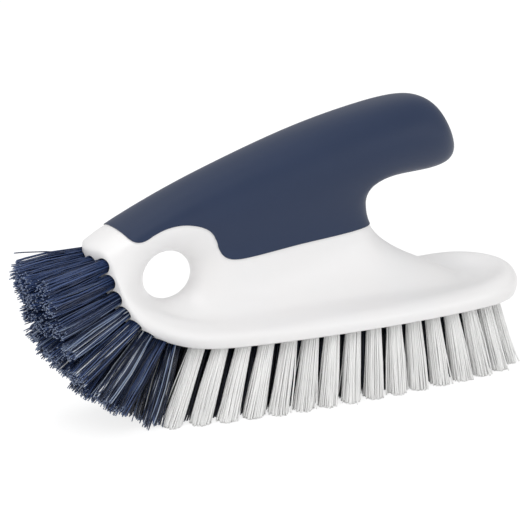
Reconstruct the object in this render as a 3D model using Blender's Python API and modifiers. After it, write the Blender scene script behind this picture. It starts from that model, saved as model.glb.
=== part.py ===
"""A dish brush shaped like a small iron: a moulded body with a hanging hole and a
cantilevered handle, a soft overmoulded grip, a skirt of pale tufts along the edge
of the base, and dark tufts across the base and up over the toe.

The brush points along -X and stands on the cut ends of its bristles at z = 0.
"""
import math

import bmesh
import bpy
from mathutils import Matrix, Vector
from mathutils.bvhtree import BVHTree

for old in list(bpy.data.objects):
    bpy.data.objects.remove(old, do_unlink=True)

# Overall sizes, in metres
base_length = 0.1585            # toe to heel of the moulded body
base_half_width = 0.0255
body_height = 0.071             # underside of the base to the top of the handle
flange_height = 0.107 * body_height   # rolled rim of the base above its underside
bristle_reach = 0.024           # underside of the base above the floor
toe_half_width = 0.588 * base_half_width
web_half_width = 0.0085         # upright wall between the base and the handle
handle_half_width = 0.015
toe_bristle_length = 0.0220
toe_set_back = 0.0013           # top toe row behind the foremost point of the body
clearance = 0.0003              # gap between pieces that touch

toe_x = (toe_bristle_length - toe_set_back - base_length) / 2
floor_z = 0.0

# Hanging hole through the web
hole_length = 0.120 * base_length
hole_height = 0.245 * body_height
hole_flare = 0.15 * hole_height   # how far its mouth opens beyond its throat
hole_tilt = math.radians(18)
hole_x_share = 0.176
hole_z_share = 0.288

# Soft grip
grip_wall = 0.0025
core_overlap = 0.0015           # how far the core runs on below the edge of the grip

# Tufts
strand_width = 0.0016
tuft_root_spread = 0.0020       # strands of one tuft, centre to centre, at the root
tuft_tip_spread = 0.0039        # and at the cut ends
skirt_inset = 0.0042            # outer tufts inside the edge of the base
heel_start_share = 0.80         # from here to the heel the tufts draw in from the edge
heel_draw = 0.80
skirt_splay = math.radians(4.5)
toe_lean = math.radians(13.5)   # first outer tuft leans to the toe
heel_lean = math.radians(16)    # and the last to the heel
skirt_run_share = 0.937         # half of the skirt path that carries tufts
slice_width_share = 0.60        # strip of backing that carries a row, of the toe row pitch
slice_depth = 0.0020
slice_wall = 0.0014             # least wall between the skirt strip and a crosswise strip
strand_sink = 0.0010            # strand root inside its strip
pocket_overrun = 0.0015         # cutters stand this far out of the skin
skirt_tufts = 15                # along each side
heel_tufts = 5                  # round the heel
base_rows = 14                  # crosswise rows inside the skirt
row_tufts = 4                   # tufts in a crosswise row, fewer where it is too short for them
first_row_share = 0.230         # first and last crosswise row along the base length
last_row_share = 0.865
toe_start_share = 0.161         # first toe row, on the underside
toe_climb_share = 0.90          # the toe rows take up this much of the way to the nose
toe_side_lean = math.radians(10)  # outermost tufts of the top row lean this far sideways
sides_of_pale_strand = 4
sides_of_dark_strand = 3

parts = bpy.data.collections.new("dish_brush")
cutters = bpy.data.collections.new("cutters")
for collection in (parts, cutters):
    bpy.context.scene.collection.children.link(collection)


def finish(name, colour, roughness):
    material = bpy.data.materials.new(name)
    material.use_nodes = True
    shader = material.node_tree.nodes["Principled BSDF"]
    shader.inputs["Base Color"].default_value = (*colour, 1.0)
    shader.inputs["Roughness"].default_value = roughness
    shader.inputs["Metallic"].default_value = 0.0
    return material


def new_object(name, mesh, collection):
    thing = bpy.data.objects.new(name, mesh)
    collection.objects.link(thing)
    if collection is cutters:
        thing.hide_render = True
        thing.display_type = "WIRE"
    return thing


def evaluated_mesh(thing):
    bpy.context.view_layer.update()
    depsgraph = bpy.context.evaluated_depsgraph_get()
    return bpy.data.meshes.new_from_object(thing.evaluated_get(depsgraph))


def boolean(thing, operation, other):
    step = thing.modifiers.new(operation.lower() + "_" + other.name, "BOOLEAN")
    step.operation = operation
    step.object = other
    step.solver = "EXACT"


def spline(points, steps):
    """Cubic B-spline through the middle of a control polygon, ends reached."""
    first = points[0] * 2 - points[1]
    last = points[-1] * 2 - points[-2]
    control = [first] + list(points) + [last]
    curve = []
    for a, b, c, d in zip(control, control[1:], control[2:], control[3:]):
        for i in range(steps):
            t = i / steps
            curve.append((a * (1 - t) ** 3 + b * (3 * t ** 3 - 6 * t ** 2 + 4)
                          + c * (-3 * t ** 3 + 3 * t ** 2 + 3 * t + 1) + d * t ** 3) / 6)
    curve.append(points[-1])
    return curve


def through(points, steps):
    """Smooth curve through every point of an outline."""
    first = points[0] * 2 - points[1]
    last = points[-1] * 2 - points[-2]
    knots = [first] + list(points) + [last]
    curve = []
    for a, b, c, d in zip(knots, knots[1:], knots[2:], knots[3:]):
        for i in range(steps):
            t = i / steps
            curve.append((b * 2 + (c - a) * t + (a * 2 - b * 5 + c * 4 - d) * t ** 2
                          + (b * 3 - a - c * 3 + d) * t ** 3) / 2)
    curve.append(points[-1])
    return curve


def along(curve, distance):
    """Point and direction at a distance along a polyline."""
    for a, b in zip(curve, curve[1:]):
        step = (b - a).length
        if distance <= step or b is curve[-1]:
            return a.lerp(b, distance / step), (b - a).normalized()
        distance -= step


def length_of(curve):
    return sum((b - a).length for a, b in zip(curve, curve[1:]))


# Body cage
# Each line runs from toe to heel along the left half of the body. A point is its
# place along the length, its half width and its height, as shares of those sizes.
foot_edge_shares = [(0.259, 0.77, 0.0), (0.328, 0.85, 0.0), (0.404, 0.91, 0.0), (0.498, 0.96, 0.0),
                    (0.612, 0.99, 0.0), (0.738, 0.98, 0.0), (0.845, 0.93, 0.0), (0.924, 0.82, 0.0),
                    (0.978, 0.49, 0.0), (1.003, 0.0, 0.0)]
wall_shares = [(0.227, 0.82, 0.579), (0.309, 0.89, 0.553), (0.391, 0.95, 0.539), (0.492, 1.01, 0.526),
               (0.612, 1.03, 0.526), (0.738, 1.02, 0.553), (0.852, 0.97, 0.605), (0.934, 0.86, 0.658),
               (0.991, 0.51, 0.697), (1.015, 0.0, 0.697)]
rim_shares = [(0.189, 0.67, 0.970), (0.278, 0.73, 0.885), (0.366, 0.77, 0.950), (0.479, 0.82, 1.050),
              (0.612, 0.84, 1.079), (0.738, 0.83, 1.105), (0.839, 0.8, 1.197), (0.915, 0.71, 1.329),
              (0.965, 0.41, 1.434), (0.987, 0.0, 1.461)]
valley_shares = [(0.145, 0.49, 1.400), (0.227, 0.49, 0.950), (0.315, 0.5, 0.870), (0.467, 0.52, 0.947),
                 (0.612, 0.52, 0.816), (0.738, 0.5, 0.737), (0.826, 0.47, 0.684), (0.883, 0.43, 0.658),
                 (0.924, 0.25, 0.658), (0.943, 0.0, 0.658)]
web_foot_shares = [(0.454, 1.0, 0.211), (0.637, 0.82, 0.346), (0.716, 0.65, 0.234), (0.804, 0.59, 0.149)]
web_waist_shares = [(0.454, 1.02, 0.338), (0.618, 0.88, 0.465)]
grip_foot_shares = [(0.454, 1.24, 0.479), (0.628, 1.12, 0.606), (0.732, 1.0, 0.627), (0.814, 0.88, 0.641)]
grip_side_shares = [(0.110, 0.82, 0.524), (0.186, 0.85, 0.561), (0.274, 0.89, 0.600), (0.461, 1.0, 0.718),
                    (0.631, 1.05, 0.793), (0.738, 1.07, 0.817), (0.826, 0.81, 0.768)]
shoulder_shares = [(0.126, 0.53, 0.600), (0.205, 0.57, 0.675), (0.300, 0.6, 0.751), (0.476, 0.65, 0.883),
                   (0.637, 0.7, 0.961), (0.738, 0.7, 0.990), (0.798, 0.57, 0.944)]
crown_shares = [(0.060, 0.0, 0.544), (0.132, 0.0, 0.625), (0.211, 0.0, 0.706), (0.306, 0.0, 0.782),
                (0.483, 0.0, 0.909), (0.640, 0.0, 0.981), (0.743, 0.0, 1.009), (0.797, 0.0, 0.972)]

# These columns climb the toe from the underside to the top of the nose.
toe_edge_shares = [(0.145, 0.97, 0.028), (0.088, 1.03, 0.099), (0.060, 1.0, 0.176), (0.045, 0.93, 0.246),
                   (0.037, 0.87, 0.310), (0.030, 0.8, 0.366), (0.026, 0.73, 0.415), (0.020, 0.62, 0.458),
                   (0.013, 0.35, 0.483)]
toe_cheek_shares = [(0.202, 1.17, 0.006), (0.151, 1.27, 0.075), (0.110, 1.15, 0.135), (0.082, 1.0, 0.211),
                    (0.064, 0.85, 0.282), (0.058, 0.8, 0.352), (0.056, 0.77, 0.420), (0.056, 0.75, 0.479),
                    (0.057, 0.47, 0.527)]
toe_front_shares = [(0.132, 0.0, 0.003), (0.069, 0.0, 0.077), (0.036, 0.0, 0.162), (0.016, 0.0, 0.239),
                    (0.005, 0.0, 0.310), (-0.001, 0.0, 0.366), (-0.003, 0.0, 0.415), (-0.003, 0.0, 0.458),
                    (0.008, 0.0, 0.482)]

# These lie on the plane of symmetry where the web ends and the finger gap begins.
gap_wall_shares = [(0.655, 0.0, 0.356), (0.633, 0.0, 0.472), (0.640, 0.0, 0.606)]
tail_top_shares = [(0.721, 0.0, 0.251), (0.808, 0.0, 0.169)]
handle_under_shares = [(0.738, 0.0, 0.606), (0.817, 0.0, 0.624)]
handle_end_shares = [(0.879, 0.0, 0.655)]

edge_crease = 0.55              # how sharply the underside turns into the wall

# Lower edge of the grip seen from the side, from the nose to behind the handle
grip_edge_shares = [(0.050, 0.0, 0.680), (0.060, 0.0, 0.580), (0.070, 0.0, 0.533), (0.080, 0.0, 0.510),
                    (0.094, 0.0, 0.501), (0.108, 0.0, 0.508), (0.124, 0.0, 0.526), (0.148, 0.0, 0.545),
                    (0.176, 0.0, 0.553), (0.204, 0.0, 0.545), (0.228, 0.0, 0.526), (0.246, 0.0, 0.498),
                    (0.259, 0.0, 0.455), (0.268, 0.0, 0.410), (0.278, 0.0, 0.376), (0.292, 0.0, 0.356),
                    (0.312, 0.0, 0.350), (0.344, 0.0, 0.354), (0.449, 0.0, 0.378), (0.582, 0.0, 0.394),
                    (0.660, 0.0, 0.408), (0.850, 0.0, 0.450), (1.050, 0.0, 0.480)]

# Toe rows from the underside up: tufts, share of the half width they reach, lean in degrees
toe_rows = [(5, 0.74, 18), (5, 0.80, 34), (5, 0.82, 48), (5, 0.79, 57),
            (5, 0.74, 66), (5, 0.68, 75), (4, 0.60, 82), (4, 0.50, 88)]


def placed(shares, width, height):
    return [Vector((toe_x + x * base_length, -y * width, bristle_reach + z * height)) for x, y, z in shares]


def hole_loop(mouth_growth, y):
    """Eight control points round the hanging hole, anticlockwise from the low toe side."""
    control_share = 1.06        # a control loop stands outside the oval that it makes
    centre_x = toe_x + hole_x_share * base_length
    centre_z = bristle_reach + hole_z_share * body_height
    points = []
    for i in range(8):
        angle = math.radians(225) + i * math.tau / 8
        across = (hole_length / 2 * control_share + mouth_growth) * math.cos(angle)
        up = (hole_height / 2 * control_share + mouth_growth) * math.sin(angle)
        points.append(Vector((centre_x + across * math.cos(hole_tilt) - up * math.sin(hole_tilt), y,
                              centre_z + across * math.sin(hole_tilt) + up * math.cos(hole_tilt))))
    return points


def body_cage(name):
    """Coarse cage of the left half of the whole outer form, open at the plane of symmetry."""
    rows = {"foot_edge": placed(foot_edge_shares, base_half_width, flange_height),
            "wall": placed(wall_shares, base_half_width, flange_height),
            "rim": placed(rim_shares, base_half_width, flange_height),
            "valley": placed(valley_shares, base_half_width, flange_height),
            "web_foot": placed(web_foot_shares, web_half_width, body_height),
            "web_waist": placed(web_waist_shares, web_half_width, body_height),
            "grip_foot": placed(grip_foot_shares, web_half_width, body_height),
            "grip_side": placed(grip_side_shares, handle_half_width, body_height),
            "shoulder": placed(shoulder_shares, handle_half_width, body_height),
            "crown": placed(crown_shares, handle_half_width, body_height)}
    levels = list(rows)[:9]
    toe_edge = placed(toe_edge_shares, toe_half_width, body_height)
    toe_cheek = placed(toe_cheek_shares, toe_half_width, body_height)
    toe_front = placed(toe_front_shares, toe_half_width, body_height)
    gap_wall = placed(gap_wall_shares, web_half_width, body_height)
    tail_top = placed(tail_top_shares, web_half_width, body_height)
    handle_under = placed(handle_under_shares, web_half_width, body_height)
    handle_end = placed(handle_end_shares, handle_half_width, body_height)

    cage = bmesh.new()
    at = {}
    for level, point in zip(levels, toe_edge):
        at[level, 0] = cage.verts.new(point)
    for level, point in zip(levels, toe_cheek):
        at[level, 1] = cage.verts.new(point)
    for level in ("foot_edge", "wall", "rim", "valley", "grip_side", "shoulder"):
        for station, point in enumerate(rows[level], start=2):
            at[level, station] = cage.verts.new(point)
    for level in ("web_foot", "web_waist", "grip_foot"):
        for station, point in enumerate(rows[level], start=5):
            at[level, station] = cage.verts.new(point)
    for station, point in enumerate(rows["crown"], start=1):
        at["crown", station] = cage.verts.new(point)
    around = [("web_foot", 2), ("web_foot", 3), ("web_foot", 4), ("web_waist", 4),
              ("grip_foot", 4), ("grip_foot", 3), ("grip_foot", 2), ("web_waist", 2)]
    for key, point in zip(around, hole_loop(hole_flare, -web_half_width)):
        at[key] = cage.verts.new(point)
    throat = [cage.verts.new(point) for point in hole_loop(0.0, 0.0)]
    for level, point in zip(levels, toe_front):
        at[level, "front"] = cage.verts.new(point)
    at["crown", 0] = at["shoulder", "front"]
    at["under", 0] = at["foot_edge", "front"]
    for station in range(1, 10):
        edge = at["foot_edge", station].co
        at["under", station] = cage.verts.new((edge.x, 0.0, edge.z))
    for level, point in zip(("web_foot", "web_waist", "grip_foot"), gap_wall):
        at[level, "gap"] = cage.verts.new(point)
    for station, point in enumerate(tail_top, start=7):
        at["tail", station] = cage.verts.new(point)
    basin = at["valley", 9].co
    at["tail", 9] = cage.verts.new((basin.x, 0.0, basin.z))
    for station, point in enumerate(handle_under, start=7):
        at["handle_under", station] = cage.verts.new(point)
    at["handle_end", 8] = cage.verts.new(handle_end[0])

    def face(*keys):
        return cage.faces.new([at[key] for key in keys])

    def strip(low, high, first, last):
        for station in range(first, last):
            face((low, station), (low, station + 1), (high, station + 1), (high, station))

    for low, high in (("foot_edge", "wall"), ("wall", "rim"), ("rim", "valley")):
        strip(low, high, 0, 11)
    strip("valley", "web_foot", 0, 8)
    for low, high in (("web_foot", "web_waist"), ("web_waist", "grip_foot")):
        strip(low, high, 0, 2)
        strip(low, high, 4, 6)
    strip("grip_foot", "grip_side", 0, 8)
    strip("grip_side", "shoulder", 0, 8)
    strip("shoulder", "crown", 0, 8)
    strip("under", "foot_edge", 0, 9)
    face(("under", 9), ("foot_edge", 11), ("foot_edge", 10), ("foot_edge", 9))
    for low, high in zip(levels, levels[1:]):
        face((low, "front"), (low, 0), (high, 0), (high, "front"))
    for low, high in (("web_foot", "web_waist"), ("web_waist", "grip_foot")):
        face((low, 6), (low, "gap"), (high, "gap"), (high, 6))
    face(("web_foot", 6), ("web_foot", 7), ("tail", 7), ("web_foot", "gap"))
    face(("web_foot", 7), ("web_foot", 8), ("tail", 8), ("tail", 7))
    face(("web_foot", 8), ("tail", 9), ("tail", 8))
    face(("valley", 8), ("valley", 9), ("tail", 9), ("web_foot", 8))
    face(("valley", 9), ("valley", 10), ("valley", 11), ("tail", 9))
    face(("grip_foot", 6), ("grip_foot", "gap"), ("handle_under", 7), ("grip_foot", 7))
    face(("grip_foot", 7), ("handle_under", 7), ("handle_under", 8), ("grip_foot", 8))
    face(("grip_foot", 8), ("handle_under", 8), ("handle_end", 8), ("grip_side", 8))
    face(("grip_side", 8), ("handle_end", 8), ("crown", 8), ("shoulder", 8))
    for i, key in enumerate(around):
        after = around[(i + 1) % len(around)]
        cage.faces.new([at[key], at[after], throat[(i + 1) % len(around)], throat[i]])

    crease = cage.edges.layers.float.new("crease_edge")
    sharp = [at["foot_edge", station] for station in range(12)] + [at[level, 0] for level in levels]
    for edge in cage.edges:
        if edge.verts[0] in sharp and edge.verts[1] in sharp:
            edge[crease] = edge_crease
    upper = {at[key] for key in at if key[0] in ("web_foot", "web_waist", "grip_foot", "grip_side",
                                                 "shoulder", "crown", "handle_under", "handle_end")}
    upper.update(throat)
    cage.verts.index_update()
    upper_indices = [vert.index for vert in upper]
    bmesh.ops.recalc_face_normals(cage, faces=cage.faces)
    mesh = bpy.data.meshes.new(name)
    cage.to_mesh(mesh)
    cage.free()
    return mesh, upper_indices


def whole_form(name, subdivisions, depth):
    """The smooth outer form, or the same form sunk by a depth under the grip."""
    mesh, upper_indices = body_cage(name + "_cage")
    form = new_object(name, mesh, cutters)
    mirror = form.modifiers.new("mirror", "MIRROR")
    mirror.use_axis = (False, True, False)
    mirror.merge_threshold = 0.00001
    mirror.use_clip = True
    smooth = form.modifiers.new("subdivision", "SUBSURF")
    smooth.levels = subdivisions
    smooth.render_levels = subdivisions
    if depth:
        under_grip = form.vertex_groups.new(name="under_grip")
        under_grip.add(upper_indices, 1.0, "REPLACE")
        triangles = form.modifiers.new("triangles", "TRIANGULATE")
        triangles.quad_method = "FIXED"
        sink = form.modifiers.new("sink", "DISPLACE")
        sink.direction = "NORMAL"
        sink.mid_level = 0.0
        sink.strength = -depth
        sink.vertex_group = "under_grip"
    return form


def above_edge(name, drop):
    """Everything above the lower edge of the grip, the edge moved out by a drop."""
    edge = through(placed(grip_edge_shares, web_half_width, body_height), 4)
    top = bristle_reach + body_height + handle_half_width
    prism = bmesh.new()
    near = []
    for before, point, after in zip([edge[0]] + edge, edge, edge[1:] + [edge[-1]]):
        run = (after - before).normalized()
        near.append(prism.verts.new((point.x + run.z * drop, -base_half_width, point.z - run.x * drop)))
    for corner in (near[-1].co, near[0].co):
        near.append(prism.verts.new((corner.x, -base_half_width, top)))
    block = bmesh.ops.extrude_face_region(prism, geom=[prism.faces.new(near)])
    far = [item for item in block["geom"] if isinstance(item, bmesh.types.BMVert)]
    bmesh.ops.translate(prism, verts=far, vec=(0.0, 2 * base_half_width, 0.0))
    bmesh.ops.recalc_face_normals(prism, faces=prism.faces)
    mesh = bpy.data.meshes.new(name)
    prism.to_mesh(mesh)
    prism.free()
    return new_object(name, mesh, cutters)


def add_bar(mesh, stations, growth, stand_out):
    """Bar of backing along stations of point, direction and outward, grown by a clearance."""
    rings = []
    for i, (point, run, outward) in enumerate(stations):
        side = outward.cross(run).normalized()
        if i == 0:
            point = point - run * growth
        elif i == len(stations) - 1:
            point = point + run * growth
        half = slice_width / 2 + growth
        rings.append([mesh.verts.new(point + side * share * half + outward * height)
                      for share, height in ((-1, -slice_depth - growth), (1, -slice_depth - growth),
                                            (1, stand_out), (-1, stand_out))])
    for a, b in zip(rings, rings[1:]):
        for i in range(4):
            j = (i + 1) % 4
            mesh.faces.new((a[i], a[j], b[j], b[i]))
    mesh.faces.new(rings[0][::-1])
    mesh.faces.new(rings[-1])


def add_strand(mesh, root, tip, across, sides):
    """One strand from root to tip, its cut ends square to it or flat on the floor."""
    run = tip - root
    flat = abs(tip.z - floor_z) < strand_width / 4
    second = Vector((across.y, -across.x, 0.0)) if flat else run.cross(across).normalized()
    if run.dot(across.cross(second)) < 0:
        second = -second
    middle = (root + tip) / 2
    matrix = Matrix([(across[i], second[i], run[i], middle[i]) for i in range(3)] + [(0, 0, 0, 1)])
    bmesh.ops.create_cone(mesh, cap_ends=True, cap_tris=False, segments=sides, radius1=strand_width / 2,
                          radius2=strand_width / 2, depth=1.0, matrix=matrix)


def add_tuft(mesh, root, tip, across, second, sides):
    """A tuft of strands that stand apart at the root and further apart at the tip."""
    if sides == sides_of_pale_strand:
        places = [(0.5, 0.5), (-0.5, 0.5), (-0.5, -0.5), (0.5, -0.5)]
    else:
        ring = 1 / math.sqrt(3)
        places = [(ring * math.cos(angle), ring * math.sin(angle))
                  for angle in (math.tau / 4, math.tau * 7 / 12, math.tau * 11 / 12)]
    for a, b in places:
        place = across * a + second * b
        low = tip + place * tuft_tip_spread
        high = root + place * tuft_root_spread
        high -= (low - high).normalized() * strand_sink
        add_strand(mesh, high, low, across, sides)


def tuft_row(name, stations, tufts, sides, material):
    """One strip of backing with its strands fused to it, let into the body."""
    strip = bmesh.new()
    add_bar(strip, stations, 0.0, 0.0)
    add_bar(pockets, stations, clearance, pocket_overrun)
    strands = bmesh.new()
    for tuft in tufts:
        add_tuft(strands, *tuft, sides)
    made = []
    for label, shape, collection in ((name, strip, parts), (name + "_strands", strands, cutters)):
        bmesh.ops.recalc_face_normals(shape, faces=shape.faces)
        mesh = bpy.data.meshes.new(label)
        shape.to_mesh(mesh)
        shape.free()
        made.append(new_object(label, mesh, collection))
    boolean(made[0], "UNION", made[1])
    made[0].data.materials.append(material)


def floor_tip(root):
    """Where a tuft of the underside meets the floor: it leans more the further out it stands."""
    share = (root.x - skirt_start.x) / (skirt_end.x - skirt_start.x)
    lean = -toe_lean + (toe_lean + heel_lean) * share
    splay = skirt_splay * root.y / base_half_width
    reach = root.z - floor_z
    return Vector((root.x + reach * math.tan(lean), root.y + reach * math.tan(splay), floor_z))


def crosswise_room(x):
    """How far a crosswise strip at x may run before it comes near the skirt strip."""
    reach = slice_width / 2 + slice_wall
    limits = []
    for point in skirt_path:
        apart = max(abs(point.x - x) - slice_width / 2, 0.0)
        if apart < reach:
            limits.append(abs(point.y) - math.sqrt(reach ** 2 - apart ** 2))
    return min(limits)


# Way that the toe rows climb, from the underside to the nose
across = Vector((0.0, 1.0, 0.0))
lengthwise = Vector((1.0, 0.0, 0.0))
down = Vector((0.0, 0.0, -1.0))
front = placed(toe_front_shares, toe_half_width, body_height)
front = spline([front[0] + lengthwise * toe_half_width] + front, 12)
climb = [point for point in front if point.x < toe_x + toe_start_share * base_length]
toe_row_pitch = toe_climb_share * length_of(climb) / (len(toe_rows) - 1)
slice_width = slice_width_share * toe_row_pitch

# Outer tufts
# They follow the edge of the underside all round, from one side of the toe over the heel.
near_edge = (placed(toe_edge_shares[:1], toe_half_width, 0.0) + placed(toe_cheek_shares[:1], toe_half_width, 0.0)
             + placed(foot_edge_shares, base_half_width, 0.0))
far_edge = [Vector((point.x, -point.y, point.z)) for point in near_edge[-2::-1]]
edge_curve = spline(near_edge + far_edge, 12)
heel_start = toe_x + heel_start_share * base_length
skirt_path = []
for before, after in zip(edge_curve, edge_curve[1:]):
    run = (after - before).normalized()
    point = (before + after) / 2 + Vector((-run.y, run.x, 0.0)) * skirt_inset
    point.x -= max(point.x - heel_start, 0.0) * (1 - heel_draw)
    skirt_path.append(point)
heel_at = length_of(skirt_path) / 2
half_heel = (heel_tufts - 1) // 2
tuft_pitch = skirt_run_share * heel_at / (half_heel + skirt_tufts)
skirt_start = along(skirt_path, heel_at - (half_heel + skirt_tufts) * tuft_pitch)[0]
skirt_end = along(skirt_path, heel_at)[0]

pockets = bmesh.new()
pale_tufts = (("near_skirt_tufts", -half_heel - skirt_tufts, -half_heel - 1, 22),
              ("heel_tufts", -half_heel, half_heel, 14),
              ("far_skirt_tufts", half_heel + 1, half_heel + skirt_tufts, 22))
for name, first, last, pieces in pale_tufts:
    begin = heel_at + first * tuft_pitch - slice_width / 2
    end = heel_at + last * tuft_pitch + slice_width / 2
    stations = [along(skirt_path, begin + (end - begin) * i / pieces) + (down,) for i in range(pieces + 1)]
    tufts = []
    for place in range(first, last + 1):
        root, run = along(skirt_path, heel_at + place * tuft_pitch)
        tufts.append((root, floor_tip(root), run, Vector((-run.y, run.x, 0.0))))
    tuft_row(name, stations, tufts, sides_of_pale_strand, finish(name, (0.80, 0.80, 0.79), 0.45))

# Crosswise tufts inside them
for row in range(base_rows):
    share = first_row_share + (last_row_share - first_row_share) * row / (base_rows - 1)
    x = toe_x + share * base_length
    room = crosswise_room(x)
    stations = [(Vector((x, side * room, bristle_reach)), across, down) for side in (-1, 1)]
    span = room - slice_width / 2
    count = max(2, min(row_tufts, 1 + int(2 * span / (tuft_root_spread + strand_width))))
    tufts = []
    for place in range(count):
        root = Vector((x, span * (2 * place / (count - 1) - 1), bristle_reach))
        tufts.append((root, floor_tip(root), across, lengthwise))
    name = "base_tufts_%02d" % (row + 1)
    tuft_row(name, stations, tufts, sides_of_dark_strand, finish(name, (0.012, 0.020, 0.045), 0.40))

# Toe tufts
# Each row lies across the curved toe face. Its strip follows the skin, found by casting rays.
whole = whole_form("whole", 2, 0.0)
whole_mesh = evaluated_mesh(whole)
skin = BVHTree.FromPolygons([tuple(vert.co) for vert in whole_mesh.vertices],
                            [tuple(face.vertices) for face in whole_mesh.polygons])
for row, (count, share, degrees) in enumerate(toe_rows):
    centre, upward = along(climb, row * toe_row_pitch)
    outward = upward.cross(across).normalized()
    if outward.x > 0 or outward.z > 0 and abs(outward.x) < abs(outward.z):
        outward = -outward
    half = share * toe_half_width
    points = []
    for i in range(-6, 7):
        start = centre + across * (half + slice_width / 2) * i / 6 + outward * toe_half_width
        points.append(skin.ray_cast(start, -outward)[0])
    stations = []
    for before, point, after in zip(points[:1] + points, points, points[1:] + points[-1:]):
        run = (after - before).normalized()
        stations.append((point, run, run.cross(upward).normalized()))
    if stations[6][2].dot(outward) < 0:
        stations = [(point, run, -way) for point, run, way in stations]
    lean = math.radians(degrees)
    tufts = []
    for i in range(count):
        side = 2 * i / (count - 1) - 1
        strip_length = length_of(points)
        root, run = along(points, slice_width / 2 + (strip_length - slice_width) * (side + 1) / 2)
        turn = toe_side_lean * side * (row + 1) / len(toe_rows)
        way = Vector((-math.sin(lean) * math.cos(turn), math.sin(turn), -math.cos(lean) * math.cos(turn)))
        if row == 0:
            tufts.append((root, root + way * ((floor_z - root.z) / way.z), across, lengthwise))
        else:
            beside = (across - way * across.dot(way)).normalized()
            tufts.append((root, root + way * toe_bristle_length, beside, way.cross(beside)))
    name = "toe_tufts_%d" % (row + 1)
    tuft_row(name, stations, tufts, sides_of_dark_strand, finish(name, (0.012, 0.020, 0.045), 0.40))

# Grip
# A soft skin of even thickness over the upper part of the form
grip = new_object("grip", evaluated_mesh(whole), parts)
boolean(grip, "INTERSECT", above_edge("grip_region", 0.0))
boolean(grip, "DIFFERENCE", whole_form("grip_hollow", 1, grip_wall))
grip.data.materials.append(finish("grip", (0.045, 0.060, 0.115), 0.55))

# Body
# The rest of the form, with its core running up inside the grip and a pocket for every strip
core = whole_form("core", 1, grip_wall + clearance)
boolean(core, "INTERSECT", above_edge("core_region", core_overlap))
pocket_mesh = bpy.data.meshes.new("pockets")
bmesh.ops.recalc_face_normals(pockets, faces=pockets.faces)
pockets.to_mesh(pocket_mesh)
pockets.free()
body = new_object("body", evaluated_mesh(whole), parts)
boolean(body, "DIFFERENCE", above_edge("body_region", clearance))
boolean(body, "UNION", core)
boolean(body, "DIFFERENCE", new_object("pockets", pocket_mesh, cutters))
body.data.materials.append(finish("body", (0.87, 0.86, 0.86), 0.35))

for polygon in [polygon for thing in (body, grip) for polygon in thing.data.polygons]:
    polygon.use_smooth = True
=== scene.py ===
"""Looks of a dish brush: a white moulded body with a hanging hole, a navy soft grip,
pale tufts round the edge of the base, and navy tufts across the base and up the toe.

Metres. The brush points along -X and stands on its bristles at z = 0.
"""
import math
import random

import bmesh
import bpy
import numpy as np
from mathutils import Matrix, Vector
from mathutils.bvhtree import BVHTree


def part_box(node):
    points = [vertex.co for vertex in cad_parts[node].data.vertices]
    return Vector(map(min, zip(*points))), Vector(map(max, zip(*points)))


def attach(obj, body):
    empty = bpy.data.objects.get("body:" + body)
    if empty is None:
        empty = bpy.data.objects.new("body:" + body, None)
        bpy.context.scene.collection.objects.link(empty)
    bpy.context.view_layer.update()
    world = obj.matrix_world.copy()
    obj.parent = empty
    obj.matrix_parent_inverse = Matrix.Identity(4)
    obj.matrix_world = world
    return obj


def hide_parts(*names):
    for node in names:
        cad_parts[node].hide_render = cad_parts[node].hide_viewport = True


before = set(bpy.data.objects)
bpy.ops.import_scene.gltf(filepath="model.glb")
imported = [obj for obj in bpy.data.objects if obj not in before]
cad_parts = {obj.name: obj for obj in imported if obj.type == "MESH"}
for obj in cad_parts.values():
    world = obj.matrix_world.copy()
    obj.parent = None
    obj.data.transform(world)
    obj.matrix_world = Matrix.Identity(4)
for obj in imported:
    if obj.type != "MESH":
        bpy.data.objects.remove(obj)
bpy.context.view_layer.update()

# Body
# The body is one moulding of white polypropylene: a rolled base, an upright web with the
# hanging hole, the toe block, and a core that runs up inside the grip. Its half is a coarse
# cage, mirrored and subdivided, and the tuft holes are then drilled into its skin.
base_length = 0.1585
base_half_width = 0.0255
body_height = 0.071             # underside of the base to the top of the handle
flange_height = 0.107 * body_height   # rolled rim of the base above its underside
bristle_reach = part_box("body")[0].z  # underside of the base above the floor
toe_half_width = 0.588 * base_half_width
web_half_width = 0.0085         # upright wall between the base and the handle
handle_half_width = 0.015
toe_x = -0.0689                 # foremost point of the body, with the whole brush centred on x = 0
body_subdivisions = 3
seam_tolerance = 0.00001        # points this close to the plane of symmetry are merged

hole_length = 0.128 * base_length   # the hanging hole is an oval through the web
hole_height = 0.252 * body_height
hole_flare = 0.17 * hole_height   # its mouth opens this far beyond that oval
throat_inset = 0.00276          # and its throat, half way through, stands this far inside it
hole_tilt = math.radians(-17)   # its long axis drops toward the heel
hole_x_share = 0.178            # middle of the hole along the base
hole_z_share = 0.293            # and above its underside
edge_crease = 0.55              # how sharply the underside turns into the wall

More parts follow.
